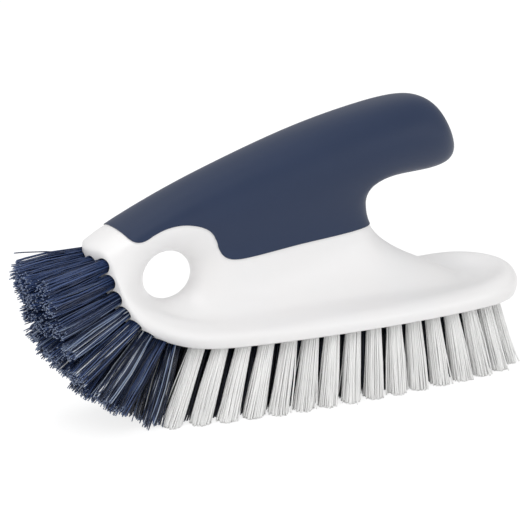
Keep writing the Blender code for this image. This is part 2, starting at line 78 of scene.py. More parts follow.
# Each line runs from toe to heel along the left half of the body. A point is its
# place along the length, its half width and its height, as shares of those sizes.
foot_edge_shares = [(0.259, 0.77, 0.0), (0.328, 0.85, 0.0), (0.404, 0.91, 0.0), (0.498, 0.96, 0.0),
                    (0.612, 0.99, 0.0), (0.738, 0.98, 0.0), (0.845, 0.93, 0.0), (0.924, 0.82, 0.0),
                    (0.978, 0.49, 0.0), (1.003, 0.0, 0.0)]
wall_shares = [(0.227, 0.82, 0.579), (0.309, 0.89, 0.553), (0.391, 0.95, 0.539), (0.492, 1.01, 0.526),
               (0.612, 1.03, 0.526), (0.738, 1.02, 0.553), (0.852, 0.97, 0.605), (0.934, 0.86, 0.658),
               (0.991, 0.51, 0.697), (1.015, 0.0, 0.697)]
rim_shares = [(0.189, 0.67, 0.880), (0.278, 0.73, 0.780), (0.366, 0.77, 0.850), (0.479, 0.82, 0.970),
              (0.612, 0.84, 0.980), (0.738, 0.83, 0.960), (0.839, 0.8, 1.040), (0.915, 0.71, 1.290),
              (0.965, 0.41, 1.434), (0.987, 0.0, 1.461)]
valley_shares = [(0.145, 0.49, 1.400), (0.227, 0.49, 0.950), (0.315, 0.5, 0.870), (0.467, 0.52, 0.947),
                 (0.612, 0.52, 0.816), (0.738, 0.5, 0.737), (0.826, 0.47, 0.684), (0.883, 0.43, 0.658),
                 (0.924, 0.25, 0.658), (0.943, 0.0, 0.658)]
web_foot_shares = [(0.454, 1.0, 0.211), (0.637, 0.82, 0.346), (0.716, 0.65, 0.234), (0.804, 0.59, 0.149)]
web_waist_shares = [(0.454, 1.02, 0.338), (0.618, 0.88, 0.465)]
grip_foot_shares = [(0.454, 1.24, 0.479), (0.622, 1.12, 0.615), (0.730, 1.0, 0.633), (0.814, 0.88, 0.644)]
grip_side_shares = [(0.110, 0.82, 0.524), (0.186, 0.85, 0.561), (0.274, 0.89, 0.600), (0.461, 1.0, 0.718),
                    (0.631, 1.05, 0.793), (0.738, 1.07, 0.815), (0.821, 0.81, 0.766)]
shoulder_shares = [(0.126, 0.53, 0.596), (0.205, 0.57, 0.670), (0.300, 0.6, 0.745), (0.476, 0.65, 0.876),
                   (0.637, 0.7, 0.952), (0.738, 0.7, 0.980), (0.791, 0.57, 0.936)]
crown_shares = [(0.060, 0.0, 0.538), (0.132, 0.0, 0.617), (0.211, 0.0, 0.699), (0.306, 0.0, 0.777),
                (0.483, 0.0, 0.898), (0.640, 0.0, 0.966), (0.743, 0.0, 1.001), (0.789, 0.0, 0.962)]

# These columns climb the toe from the underside to the top of the nose.
toe_edge_shares = [(0.152, 0.97, 0.032), (0.096, 1.03, 0.105), (0.068, 1.0, 0.181), (0.052, 0.93, 0.250),
                   (0.044, 0.87, 0.312), (0.038, 0.8, 0.367), (0.034, 0.73, 0.415), (0.026, 0.62, 0.458),
                   (0.016, 0.35, 0.483)]
toe_cheek_shares = [(0.202, 1.17, 0.006), (0.151, 1.27, 0.075), (0.110, 1.15, 0.135), (0.082, 1.0, 0.211),
                    (0.064, 0.85, 0.282), (0.058, 0.8, 0.352), (0.056, 0.77, 0.420), (0.056, 0.75, 0.479),
                    (0.057, 0.47, 0.527)]
toe_front_shares = [(0.132, 0.0, 0.003), (0.069, 0.0, 0.077), (0.036, 0.0, 0.162), (0.016, 0.0, 0.239),
                    (0.005, 0.0, 0.310), (-0.001, 0.0, 0.366), (-0.003, 0.0, 0.415), (-0.003, 0.0, 0.458),
                    (0.008, 0.0, 0.482)]

# These lie on the plane of symmetry where the web ends and the finger gap begins.
gap_wall_shares = [(0.655, 0.0, 0.356), (0.629, 0.0, 0.472), (0.620, 0.0, 0.630)]
tail_top_shares = [(0.721, 0.0, 0.251), (0.808, 0.0, 0.169)]
handle_under_shares = [(0.730, 0.0, 0.628), (0.813, 0.0, 0.635)]
handle_end_shares = [(0.877, 0.0, 0.654)]


def placed(shares, width, height):
    """Points in metres, from their shares of the base length, a half width and a height."""
    return [Vector((toe_x + x * base_length, -y * width, bristle_reach + z * height))
            for x, y, z in shares]


def hole_loop(mouth_growth, y):
    """Eight control points round the hanging hole, anticlockwise from the low toe side."""
    control_share = 1.06        # a control loop stands outside the oval that it makes
    low_toe_side = math.radians(225)
    centre = placed([(hole_x_share, 0.0, hole_z_share)], web_half_width, body_height)[0]
    centre.y = y
    tilt = Matrix.Rotation(-hole_tilt, 3, "Y")
    points = []
    for i in range(8):
        angle = low_toe_side + i * math.tau / 8
        across = (hole_length / 2 * control_share + mouth_growth) * math.cos(angle)
        up = (hole_height / 2 * control_share + mouth_growth) * math.sin(angle)
        points.append(centre + tilt @ Vector((across, 0.0, up)))
    return points


def body_cage():
    """Coarse cage of the left half of the whole outer form, open at the plane of symmetry.

    A point's key is its level, from the underside up, and its station, from the toe back.
    """
    rows = {"foot_edge": placed(foot_edge_shares, base_half_width, flange_height),
            "wall": placed(wall_shares, base_half_width, flange_height),
            "rim": placed(rim_shares, base_half_width, flange_height),
            "valley": placed(valley_shares, base_half_width, flange_height),
            "web_foot": placed(web_foot_shares, web_half_width, body_height),
            "web_waist": placed(web_waist_shares, web_half_width, body_height),
            "grip_foot": placed(grip_foot_shares, web_half_width, body_height),
            "grip_side": placed(grip_side_shares, handle_half_width, body_height),
            "shoulder": placed(shoulder_shares, handle_half_width, body_height),
            "crown": placed(crown_shares, handle_half_width, body_height)}
    levels = list(rows)[:9]     # those that the toe columns reach
    cage = bmesh.new()
    at = {}
    columns = ((0, toe_edge_shares), (1, toe_cheek_shares), ("front", toe_front_shares))
    for station, shares in columns:
        for level, point in zip(levels, placed(shares, toe_half_width, body_height)):
            at[level, station] = cage.verts.new(point)
    starts = {"web_foot": 5, "web_waist": 5, "grip_foot": 5, "crown": 1}   # behind the hole, or at the nose
    for level, points in rows.items():
        for station, point in enumerate(points, start=starts.get(level, 2)):
            at[level, station] = cage.verts.new(point)
    around = [("web_foot", 2), ("web_foot", 3), ("web_foot", 4), ("web_waist", 4),
              ("grip_foot", 4), ("grip_foot", 3), ("grip_foot", 2), ("web_waist", 2)]
    for key, point in zip(around, hole_loop(hole_flare, -web_half_width)):
        at[key] = cage.verts.new(point)
    throat = [cage.verts.new(point) for point in hole_loop(-throat_inset, 0.0)]
    at["crown", 0] = at["shoulder", "front"]
    at["under", 0] = at["foot_edge", "front"]
    for station in range(1, 10):
        edge = at["foot_edge", station].co
        at["under", station] = cage.verts.new((edge.x, 0.0, edge.z))
    for level, point in zip(levels[4:7], placed(gap_wall_shares, web_half_width, body_height)):
        at[level, "gap"] = cage.verts.new(point)
    for station, point in enumerate(placed(tail_top_shares, web_half_width, body_height), start=7):
        at["tail", station] = cage.verts.new(point)
    basin = at["valley", 9].co
    at["tail", 9] = cage.verts.new((basin.x, 0.0, basin.z))
    for station, point in enumerate(placed(handle_under_shares, web_half_width, body_height), start=7):
        at["handle_under", station] = cage.verts.new(point)
    at["handle_end", 8] = cage.verts.new(placed(handle_end_shares, handle_half_width, body_height)[0])

    def face(*keys):
        cage.faces.new([at[key] for key in keys])

    def strip(low, high, first, last):
        for station in range(first, last):
            face((low, station), (low, station + 1), (high, station + 1), (high, station))

    for low, high in (("foot_edge", "wall"), ("wall", "rim"), ("rim", "valley")):
        strip(low, high, 0, 11)
    strip("valley", "web_foot", 0, 8)
    for low, high in (("web_foot", "web_waist"), ("web_waist", "grip_foot")):
        strip(low, high, 0, 2)
        strip(low, high, 4, 6)
    strip("grip_foot", "grip_side", 0, 8)
    strip("grip_side", "shoulder", 0, 8)
    strip("shoulder", "crown", 0, 8)
    strip("under", "foot_edge", 0, 9)
    face(("under", 9), ("foot_edge", 11), ("foot_edge", 10), ("foot_edge", 9))
    for low, high in zip(levels, levels[1:]):
        face((low, "front"), (low, 0), (high, 0), (high, "front"))
    for low, high in (("web_foot", "web_waist"), ("web_waist", "grip_foot")):
        face((low, 6), (low, "gap"), (high, "gap"), (high, 6))
    face(("web_foot", 6), ("web_foot", 7), ("tail", 7), ("web_foot", "gap"))
    face(("web_foot", 7), ("web_foot", 8), ("tail", 8), ("tail", 7))
    face(("web_foot", 8), ("tail", 9), ("tail", 8))
    face(("valley", 8), ("valley", 9), ("tail", 9), ("web_foot", 8))
    face(("valley", 9), ("valley", 10), ("valley", 11), ("tail", 9))
    face(("grip_foot", 6), ("grip_foot", "gap"), ("handle_under", 7), ("grip_foot", 7))
    face(("grip_foot", 7), ("handle_under", 7), ("handle_under", 8), ("grip_foot", 8))
    face(("grip_foot", 8), ("handle_under", 8), ("handle_end", 8), ("grip_side", 8))
    face(("grip_side", 8), ("handle_end", 8), ("crown", 8), ("shoulder", 8))
    for i, key in enumerate(around):
        cage.faces.new([at[key], at[around[i - 7]], throat[i - 7], throat[i]])

    crease = cage.edges.layers.float.new("crease_edge")
    sharp = [at["foot_edge", station] for station in range(12)] + [at[level, 0] for level in levels]
    for edge in cage.edges:
        if edge.verts[0] in sharp and edge.verts[1] in sharp:
            edge[crease] = edge_crease
    bmesh.ops.recalc_face_normals(cage, faces=cage.faces)
    mesh = bpy.data.meshes.new("body_cage")
    cage.to_mesh(mesh)
    cage.free()
    return mesh


def new_object(name, mesh):
    thing = bpy.data.objects.new(name, mesh)
    bpy.context.scene.collection.objects.link(thing)
    return thing


def settled(thing):
    """Puts the result of an object's modifiers in a mesh of its own, and removes the object."""
    bpy.context.view_layer.update()
    mesh = bpy.data.meshes.new_from_object(thing.evaluated_get(bpy.context.evaluated_depsgraph_get()))
    bpy.data.objects.remove(thing)
    return mesh


def smooth_form(subdivisions):
    """The whole outer form: body and grip under one skin, with the hole through it."""
    form = new_object("form", body_cage())
    mirror = form.modifiers.new("mirror", "MIRROR")
    mirror.use_axis = (False, True, False)
    mirror.merge_threshold = seam_tolerance
    mirror.use_clip = True
    smooth = form.modifiers.new("subdivision", "SUBSURF")
    smooth.levels = smooth.render_levels = subdivisions
    return settled(form)


form = smooth_form(body_subdivisions)
skin_points = np.empty(len(form.vertices) * 3)
form.vertices.foreach_get("co", skin_points)
skin_points = skin_points.reshape(-1, 3)
skin_normals = np.empty(len(form.vertices) * 3)
form.vertex_normals.foreach_get("vector", skin_normals)
skin_normals = skin_normals.reshape(-1, 3)
skin = BVHTree.FromPolygons([vert.co for vert in form.vertices], [face.vertices for face in form.polygons])

body = new_object("body_moulding", form)
body.data.polygons.foreach_set("use_smooth", [True] * len(body.data.polygons))


def linear(code):
    """Scene-linear colour of an sRGB hex code."""
    channels = [int(code[i:i + 2], 16) / 255 for i in (0, 2, 4)]
    return (*[c / 12.92 if c <= 0.04045 else ((c + 0.055) / 1.055) ** 2.4 for c in channels], 1.0)


def add_node(tree, kind, inputs=None, **settings):
    """Adds a node. An input is given a value, an output socket, or a node for that node's output."""
    node = tree.nodes.new(kind)
    for name, value in settings.items():
        setattr(node, name, value)
    for name, value in (inputs or {}).items():
        if isinstance(value, bpy.types.Node):
            value = next(output for output in value.outputs if output.enabled)
        if isinstance(value, bpy.types.NodeSocket):
            tree.links.new(value, node.inputs[name])
        else:
            node.inputs[name].default_value = value
    return node


def new_material(name):
    material = bpy.data.materials.new(name)
    material.use_nodes = True
    return material, material.node_tree, material.node_tree.nodes["Principled BSDF"]


# Moulded polypropylene: to the eye a clean white, neither warm nor cool, with a broad satin
# highlight. Flow marks make its colour and its gloss drift a little from place to place.
flow_mark = 0.0222
white_grain = 0.0009            # fine grain of the mould, drawn some ten times as coarse as it is to show
white_grain_depth = 0.00003
white_grain_strength = 0.12
white_smoothest, white_roughest = 0.27, 0.37
white_plastic, tree, shader = new_material("polypropylene_white_moulded")
shader.inputs["IOR"].default_value = 1.49
place = add_node(tree, "ShaderNodeTexCoord").outputs["Object"]
clouds = add_node(tree, "ShaderNodeTexNoise", {"Vector": place, "Scale": 1 / flow_mark, "Detail": 2.0})
tint = add_node(tree, "ShaderNodeMix", {"Factor": clouds, "A": linear("f1efee"), "B": linear("eeeeef")},
                data_type="RGBA")
tree.links.new(tint.outputs[2], shader.inputs["Base Color"])
polish = add_node(tree, "ShaderNodeMapRange", {"Value": clouds, "To Min": white_smoothest,
                                               "To Max": white_roughest})
tree.links.new(polish.outputs["Result"], shader.inputs["Roughness"])
grain = add_node(tree, "ShaderNodeTexNoise", {"Vector": place, "Scale": 1 / white_grain, "Detail": 2.0})
grained = add_node(tree, "ShaderNodeBump", {"Height": grain, "Strength": white_grain_strength,
                                            "Distance": white_grain_depth})
tree.links.new(grained.outputs["Normal"], shader.inputs["Normal"])
body.data.materials.append(white_plastic)
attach(body, "root")
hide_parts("body")

# Soft grip
# A navy thermoplastic rubber skin, moulded over the core in a second shot, so that it can't
# slip or come off. Its lower edge rises over the hanging hole and drops in front of the finger
# gap, and stands a little proud of the white plastic.
grip_proud = 0.00030
grip_depth = 0.0014             # how far the skin reaches below the white surface
sink_distance = 0.0030          # past its edge the core draws in under the skin
core_sink = 0.0009
grip_edge_steps = 8             # between two points of its lower edge
grip_fold = math.radians(40)    # an edge sharper than this isn't shaded as a round one

# Lower edge of the grip seen from the side, from the nose to behind the handle
grip_edge_shares = [(0.050, 0.0, 0.676), (0.060, 0.0, 0.575), (0.070, 0.0, 0.528), (0.080, 0.0, 0.507),
                    (0.094, 0.0, 0.501), (0.108, 0.0, 0.509), (0.124, 0.0, 0.527), (0.148, 0.0, 0.545),
                    (0.176, 0.0, 0.552), (0.204, 0.0, 0.544), (0.228, 0.0, 0.525), (0.246, 0.0, 0.497),
                    (0.2595, 0.0, 0.454), (0.2685, 0.0, 0.410), (0.2785, 0.0, 0.377), (0.292, 0.0, 0.358),
                    (0.312, 0.0, 0.352), (0.344, 0.0, 0.357), (0.449, 0.0, 0.382), (0.582, 0.0, 0.398),
                    (0.660, 0.0, 0.410), (0.850, 0.0, 0.450), (1.050, 0.0, 0.480)]


def through(points, steps):
    """Smooth curve through every point of an outline."""
    knots = [points[0] * 2 - points[1]] + list(points) + [points[-1] * 2 - points[-2]]
    curve = []
    for a, b, c, d in zip(knots, knots[1:], knots[2:], knots[3:]):
        for i in range(steps):
            t = i / steps
            curve.append((b * 2 + (c - a) * t + (a * 2 - b * 5 + c * 4 - d) * t ** 2
                          + (b * 3 - a - c * 3 + d) * t ** 3) / 2)
    curve.append(points[-1])
    return curve


grip_edge = through(placed(grip_edge_shares, web_half_width, body_height), grip_edge_steps)
edge_line = np.array([(point.x, point.z) for point in grip_edge])
side_view = skin_points[:, [0, 2]]
height_over_edge = side_view[:, 1] - np.interp(side_view[:, 0], edge_line[:, 0], edge_line[:, 1])
from_edge = np.full(len(side_view), np.inf)
for start, end in zip(edge_line, edge_line[1:]):
    run = end - start
    share = np.clip((side_view - start) @ run / (run @ run), 0.0, 1.0)
    from_edge = np.minimum(from_edge, np.linalg.norm(side_view - start - share[:, None] * run, axis=1))
under = np.where(height_over_edge > 0, np.clip(from_edge / sink_distance, 0.0, 1.0), 0.0)
sunk = skin_points - skin_normals * (core_sink * under)[:, None]
body.data.vertices.foreach_set("co", sunk.ravel())
body.data.update()


def offset_form(distance):
    """The whole outer form, swollen by a distance or shrunk by a negative one."""
    mesh = smooth_form(body_subdivisions)
    mesh.vertices.foreach_set("co", (skin_points + skin_normals * distance).ravel())
    mesh.update()
    return new_object("form_offset", mesh)


def region_above(edge, width):
    """Block over a line in the side view, as a cutter."""
    block = bmesh.new()
    top = bristle_reach + body_height + width
    outline = [block.verts.new((point.x, -width, point.z)) for point in edge]
    outline += [block.verts.new((edge[i].x, -width, top)) for i in (-1, 0)]
    made = bmesh.ops.extrude_face_region(block, geom=[block.faces.new(outline)])
    far = [item for item in made["geom"] if isinstance(item, bmesh.types.BMVert)]
    bmesh.ops.translate(block, verts=far, vec=(0.0, 2 * width, 0.0))
    bmesh.ops.recalc_face_normals(block, faces=block.faces)
    mesh = bpy.data.meshes.new("region")
    block.to_mesh(mesh)
    block.free()
    return new_object("region", mesh)


def cut(thing, operation, other):
    step = thing.modifiers.new(operation.lower(), "BOOLEAN")
    step.operation = operation
    step.object = other
    step.solver = "EXACT"


grip = offset_form(grip_proud)
grip_region = region_above(grip_edge, base_half_width)
grip_hollow = offset_form(-grip_depth)
cut(grip, "INTERSECT", grip_region)
cut(grip, "DIFFERENCE", grip_hollow)
grip = new_object("grip_skin", settled(grip))
grip.data.polygons.foreach_set("use_smooth", [True] * len(grip.data.polygons))
grip.data.set_sharp_from_angle(angle=grip_fold)
for cutter in (grip_region, grip_hollow):
    bpy.data.objects.remove(cutter)

# Thermoplastic rubber from a spark-eroded mould: to the eye a deep, nearly matt navy. Fine pits
# swallow part of its gloss and spread its highlight wide, and a faint bloom lightens it where it
# is seen edge-on.
bloom_patch = 0.0167            # size of the patches in which its colour and polish drift
spark_grain = 0.0004            # pits of the mould, drawn twice as coarse as they are to show
spark_depth = 0.00004
spark_strength = 0.35
grip_smoothest, grip_roughest = 0.42, 0.52
soft_rubber, tree, shader = new_material("thermoplastic_rubber_navy_spark_textured")
shader.inputs["IOR"].default_value = 1.50
shader.inputs["Specular IOR Level"].default_value = 0.22
shader.inputs["Sheen Weight"].default_value = 0.10
shader.inputs["Sheen Roughness"].default_value = 0.35
place = add_node(tree, "ShaderNodeTexCoord").outputs["Object"]
clouds = add_node(tree, "ShaderNodeTexNoise", {"Vector": place, "Scale": 1 / bloom_patch, "Detail": 3.0})
tint = add_node(tree, "ShaderNodeMix", {"Factor": clouds, "A": linear("28344d"), "B": linear("2c3852")},
                data_type="RGBA")
tree.links.new(tint.outputs[2], shader.inputs["Base Color"])
polish = add_node(tree, "ShaderNodeMapRange", {"Value": clouds, "To Min": grip_smoothest,
                                               "To Max": grip_roughest})
tree.links.new(polish.outputs["Result"], shader.inputs["Roughness"])
pits = add_node(tree, "ShaderNodeTexNoise", {"Vector": place, "Scale": 1 / spark_grain, "Detail": 1.0})
pitted = add_node(tree, "ShaderNodeBump", {"Height": pits, "Strength": spark_strength,
                                           "Distance": spark_depth})
tree.links.new(pitted.outputs["Normal"], shader.inputs["Normal"])
grip.data.materials.clear()
grip.data.materials.append(soft_rubber)
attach(grip, "root")
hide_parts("grip")

# Pale skirt tufts
# Bundles of white nylon filament, each folded in two and stapled into its own hole in the
# underside. They stand in one row along the edge of the base and round the heel, and are
# trimmed flat once they are all in.
skirt_inset = 0.0042            # outer tufts inside the edge of the base
heel_start_share = 0.80         # from here to the heel the tufts draw in from the edge
heel_draw_share = 0.80          # to this share of their distance
skirt_splay = math.radians(4.5)
toe_lean = math.radians(22)     # first outer tuft leans to the toe
heel_lean = math.radians(19)    # and the last to the heel
skirt_run_share = 0.950         # half of the skirt path that carries tufts
skirt_tufts = 15                # along each side
heel_tufts = 5                  # round the heel
hole_radius = 0.0025
hole_depth = 0.0030
planted_share = 0.8             # of the hole's depth that the strands reach down
pale_strands = 150              # in a tuft
pale_filament = 0.00046         # half as thick again as the real one, so that single strands show
pale_tip_radius = 0.0031
pale_bend = 0.0003              # bow of a strand between its ends
pale_ragged = 0.0006            # how much shorter than the rest a strand may be
pale_loose_share = 0.07         # of the tip radius that a strand may stray by
heel_stray_reach = Vector((0.0108, -0.0035, -0.024))  # one strand has sprung out at the heel
curve_steps = 12                # between two points of a path
across = Vector((0.0, 1.0, 0.0))
lengthwise = Vector((1.0, 0.0, 0.0))


def spline(points, steps):
    """Cubic B-spline through the middle of a control polygon, ends reached."""
    control = [points[0] * 2 - points[1]] + list(points) + [points[-1] * 2 - points[-2]]
    curve = []
    for a, b, c, d in zip(control, control[1:], control[2:], control[3:]):
        for i in range(steps):
            t = i / steps
            curve.append((a * (1 - t) ** 3 + b * (3 * t ** 3 - 6 * t ** 2 + 4)
                          + c * (-3 * t ** 3 + 3 * t ** 2 + 3 * t + 1) + d * t ** 3) / 6)
    curve.append(points[-1])
    return curve


def along(curve, distance):
    """Point and direction at a distance along a polyline."""
    for a, b in zip(curve, curve[1:]):
        step = (b - a).length
        if distance <= step or b is curve[-1]:
            return a.lerp(b, distance / step), (b - a).normalized()
        distance -= step


def length_of(curve):
    return sum((b - a).length for a, b in zip(curve, curve[1:]))


near_edge = placed(toe_edge_shares[:1] + toe_cheek_shares[:1], toe_half_width, 0.0)
near_edge += placed(foot_edge_shares, base_half_width, 0.0)
far_edge = [Vector((point.x, -point.y, point.z)) for point in near_edge[-2::-1]]
edge_curve = spline(near_edge + far_edge, curve_steps)
heel_start = toe_x + heel_start_share * base_length
skirt_path = []
for before, after in zip(edge_curve, edge_curve[1:]):
    run = (after - before).normalized()
    point = (before + after) / 2 + Vector((-run.y, run.x, 0.0)) * skirt_inset
    point.x -= max(point.x - heel_start, 0.0) * (1 - heel_draw_share)
    skirt_path.append(point)
heel_at = length_of(skirt_path) / 2
half_heel = (heel_tufts - 1) // 2
tuft_pitch = skirt_run_share * heel_at / (half_heel + skirt_tufts)
skirt_start = along(skirt_path, heel_at - (half_heel + skirt_tufts) * tuft_pitch)[0]
skirt_end = along(skirt_path, heel_at)[0]


def floor_reach(root):
    """From a hole in the underside to the floor: a tuft leans more the further out it stands."""
    share = (root.x - skirt_start.x) / (skirt_end.x - skirt_start.x)
    lean = -toe_lean + (toe_lean + heel_lean) * share
    splay = skirt_splay * root.y / base_half_width
    return Vector((root.z * math.tan(lean), root.z * math.tan(splay), -root.z))


def tuft_tree():
    """Geometry Nodes that plant a bundle of filaments at every hole.

    A hole is a point that carries the reach of its tuft, a side square to it, and its strands.
    """
    rod_sides, rod_segments = 4, 4
    golden_angle = math.pi * (3 - math.sqrt(5))
    fray_rarity = 9.0               # the higher, the fewer strands stray far out of their tuft
    fray_share = 0.5                # and this is how far, as a share of the tip radius
    end_crowding = 3.0              # the higher, the closer a rod's last ring is to its cut end
    tree = bpy.data.node_groups.new("tufts_of_filament", "GeometryNodeTree")
    new_socket = tree.interface.new_socket
    new_socket("Holes", in_out="INPUT", socket_type="NodeSocketGeometry")
    for name in ("Root radius", "Tip radius", "Thickness", "Depth in hole", "Bend", "Ragged", "Looseness",
                 "Darkest", "Brightest", "Trimmed flat"):
        new_socket(name, in_out="INPUT", socket_type="NodeSocketFloat")
    new_socket("Seed", in_out="INPUT", socket_type="NodeSocketInt")
    new_socket("Finish", in_out="INPUT", socket_type="NodeSocketMaterial")
    new_socket("Tufts", in_out="OUTPUT", socket_type="NodeSocketGeometry")
    given = add_node(tree, "NodeGroupInput").outputs

    reach = add_node(tree, "GeometryNodeInputNamedAttribute", {"Name": "reach"}, data_type="FLOAT_VECTOR")
    side = add_node(tree, "GeometryNodeInputNamedAttribute", {"Name": "side"}, data_type="FLOAT_VECTOR")
    count = add_node(tree, "GeometryNodeInputNamedAttribute", {"Name": "strands"}, data_type="INT")
    strands = add_node(tree, "GeometryNodeDuplicateElements", {"Geometry": given["Holes"], "Amount": count},
                       domain="POINT")
    index = strands.outputs["Duplicate Index"]

    # A random value of each kind for every strand, with seeds that keep the draws apart
    draws = {}
    for turn, (name, kind, low, high) in enumerate((("jitter", "FLOAT_VECTOR", (-1.0,) * 3, (1.0,) * 3),
                                                    ("fray", "FLOAT", 0.0, 1.0),
                                                    ("shortness", "FLOAT", 0.0, 1.0),
                                                    ("tone", "FLOAT", 0.0, 1.0),
                                                    ("roll", "FLOAT", 0.0, math.tau))):
        own_seed = add_node(tree, "ShaderNodeMath", {0: given["Seed"], 1: turn}, operation="ADD")
        draws[name] = add_node(tree, "FunctionNodeRandomValue", {"Min": low, "Max": high, "Seed": own_seed},
                               data_type=kind)

    # Strands fill a tuft as seeds fill a sunflower
    angle = add_node(tree, "ShaderNodeMath", {0: index, 1: golden_angle}, operation="MULTIPLY")
    cosine = add_node(tree, "ShaderNodeMath", {0: angle}, operation="COSINE")
    sine = add_node(tree, "ShaderNodeMath", {0: angle}, operation="SINE")
    middle = add_node(tree, "ShaderNodeMath", {0: index, 1: 0.5}, operation="ADD")
    filled = add_node(tree, "ShaderNodeMath", {0: middle, 1: count}, operation="DIVIDE")
    share = add_node(tree, "ShaderNodeMath", {0: filled}, operation="SQRT")
    way = add_node(tree, "ShaderNodeVectorMath", {0: reach}, operation="NORMALIZE")
    square = add_node(tree, "ShaderNodeVectorMath", {0: way, 1: side}, operation="CROSS_PRODUCT")
    beside = add_node(tree, "ShaderNodeVectorMath", {0: square}, operation="NORMALIZE")
    by_side = add_node(tree, "ShaderNodeVectorMath", {0: side, "Scale": cosine}, operation="SCALE")
    by_square = add_node(tree, "ShaderNodeVectorMath", {0: beside, "Scale": sine}, operation="SCALE")
    outward = add_node(tree, "ShaderNodeVectorMath", {0: by_side, 1: by_square}, operation="ADD")

    # A strand starts in its hole
    root_radius = add_node(tree, "ShaderNodeMath", {0: share, 1: given["Root radius"]}, operation="MULTIPLY")
    at_mouth = add_node(tree, "ShaderNodeVectorMath", {0: outward, "Scale": root_radius}, operation="SCALE")
    into_hole = add_node(tree, "ShaderNodeVectorMath", {0: way, "Scale": given["Depth in hole"]},
                         operation="SCALE")
    root = add_node(tree, "ShaderNodeVectorMath", {0: at_mouth, 1: into_hole}, operation="SUBTRACT")

    # It ends fanned out from the middle of its tuft, and a little short or out of line
    rare = add_node(tree, "ShaderNodeMath", {0: draws["fray"], 1: fray_rarity}, operation="POWER")
    fray = add_node(tree, "ShaderNodeMath", {0: rare, 1: fray_share, 2: 1.0}, operation="MULTIPLY_ADD")
    frayed = add_node(tree, "ShaderNodeMath", {0: share, 1: fray}, operation="MULTIPLY")
    tip_radius = add_node(tree, "ShaderNodeMath", {0: frayed, 1: given["Tip radius"]}, operation="MULTIPLY")
    fanned = add_node(tree, "ShaderNodeVectorMath", {0: outward, "Scale": tip_radius}, operation="SCALE")
    play = add_node(tree, "ShaderNodeMath", {0: given["Tip radius"], 1: given["Looseness"]},
                    operation="MULTIPLY")
    loose = add_node(tree, "ShaderNodeVectorMath", {0: draws["jitter"], "Scale": play}, operation="SCALE")
    spread = add_node(tree, "ShaderNodeVectorMath", {0: fanned, 1: loose}, operation="ADD")
    full_length = add_node(tree, "ShaderNodeVectorMath", {0: reach, 1: spread}, operation="ADD")
    shortfall = add_node(tree, "ShaderNodeMath", {0: draws["shortness"], 1: given["Ragged"]},
                         operation="MULTIPLY")
    missing = add_node(tree, "ShaderNodeVectorMath", {0: way, "Scale": shortfall}, operation="SCALE")
    cut_short = add_node(tree, "ShaderNodeVectorMath", {0: full_length, 1: missing}, operation="SUBTRACT")

    # In a tuft that is trimmed flat the tip is brought to the level of the others
    wanted = add_node(tree, "ShaderNodeSeparateXYZ", {0: reach}).outputs["Z"]
    found = add_node(tree, "ShaderNodeSeparateXYZ", {0: cut_short}).outputs["Z"]
    over = add_node(tree, "ShaderNodeMath", {0: wanted, 1: found}, operation="SUBTRACT")
    to_level = add_node(tree, "ShaderNodeMath", {0: over, 1: shortfall}, operation="ADD")
    trim = add_node(tree, "ShaderNodeMath", {0: to_level, 1: given["Trimmed flat"]}, operation="MULTIPLY")
    lowered = add_node(tree, "ShaderNodeCombineXYZ", {"Z": trim})
    tip = add_node(tree, "ShaderNodeVectorMath", {0: cut_short, 1: lowered}, operation="ADD")
    strand = add_node(tree, "ShaderNodeVectorMath", {0: tip, 1: root}, operation="SUBTRACT")

    # Darkest and Brightest bound the random tone; at the toe they carry painted light row by row
    tone = add_node(tree, "ShaderNodeMapRange", {"Value": draws["tone"], "To Min": given["Darkest"],
                                                 "To Max": given["Brightest"]})
    toned = add_node(tree, "GeometryNodeStoreNamedAttribute",
                     {"Geometry": strands, "Name": "tone", "Value": tone}, data_type="FLOAT", domain="POINT")
    rooted = add_node(tree, "GeometryNodeSetPosition", {"Geometry": toned, "Offset": root})

    # One filament of unit length, slightly bent, with a short last ring at its cut end
    rod = add_node(tree, "GeometryNodeMeshCylinder", {"Vertices": rod_sides, "Side Segments": rod_segments,
                                                      "Radius": 1.0, "Depth": 1.0})
    position = add_node(tree, "GeometryNodeInputPosition")
    rod_place = add_node(tree, "ShaderNodeSeparateXYZ", {0: position}).outputs
    from_end = add_node(tree, "ShaderNodeMath", {0: 0.5, 1: rod_place["Z"]}, operation="SUBTRACT")
    crowded = add_node(tree, "ShaderNodeMath", {0: from_end, 1: end_crowding}, operation="POWER")
    up = add_node(tree, "ShaderNodeMath", {0: 1.0, 1: crowded}, operation="SUBTRACT")
    # A parabola over a length of one is four times the product of what is behind and ahead
    still_to_go = add_node(tree, "ShaderNodeMath", {0: 1.0, 1: up}, operation="SUBTRACT")
    arch = add_node(tree, "ShaderNodeMath", {0: up, 1: still_to_go}, operation="MULTIPLY")
    half = add_node(tree, "ShaderNodeMath", {0: given["Thickness"], 1: 2.0}, operation="DIVIDE")
    bend = add_node(tree, "ShaderNodeMath", {0: given["Bend"], 1: half}, operation="DIVIDE")
    arch_height = add_node(tree, "ShaderNodeMath", {0: 4.0, 1: bend}, operation="MULTIPLY")
    bow = add_node(tree, "ShaderNodeMath", {0: arch, 1: arch_height}, operation="MULTIPLY")
    bowed = add_node(tree, "ShaderNodeMath", {0: rod_place["X"], 1: bow}, operation="ADD")
    shape = add_node(tree, "ShaderNodeCombineXYZ", {"X": bowed, "Y": rod_place["Y"], "Z": up})
    marked = add_node(tree, "GeometryNodeStoreNamedAttribute",
                      {"Geometry": rod, "Name": "along", "Value": up}, data_type="FLOAT", domain="POINT")
    filament = add_node(tree, "GeometryNodeSetPosition", {"Geometry": marked, "Position": shape})

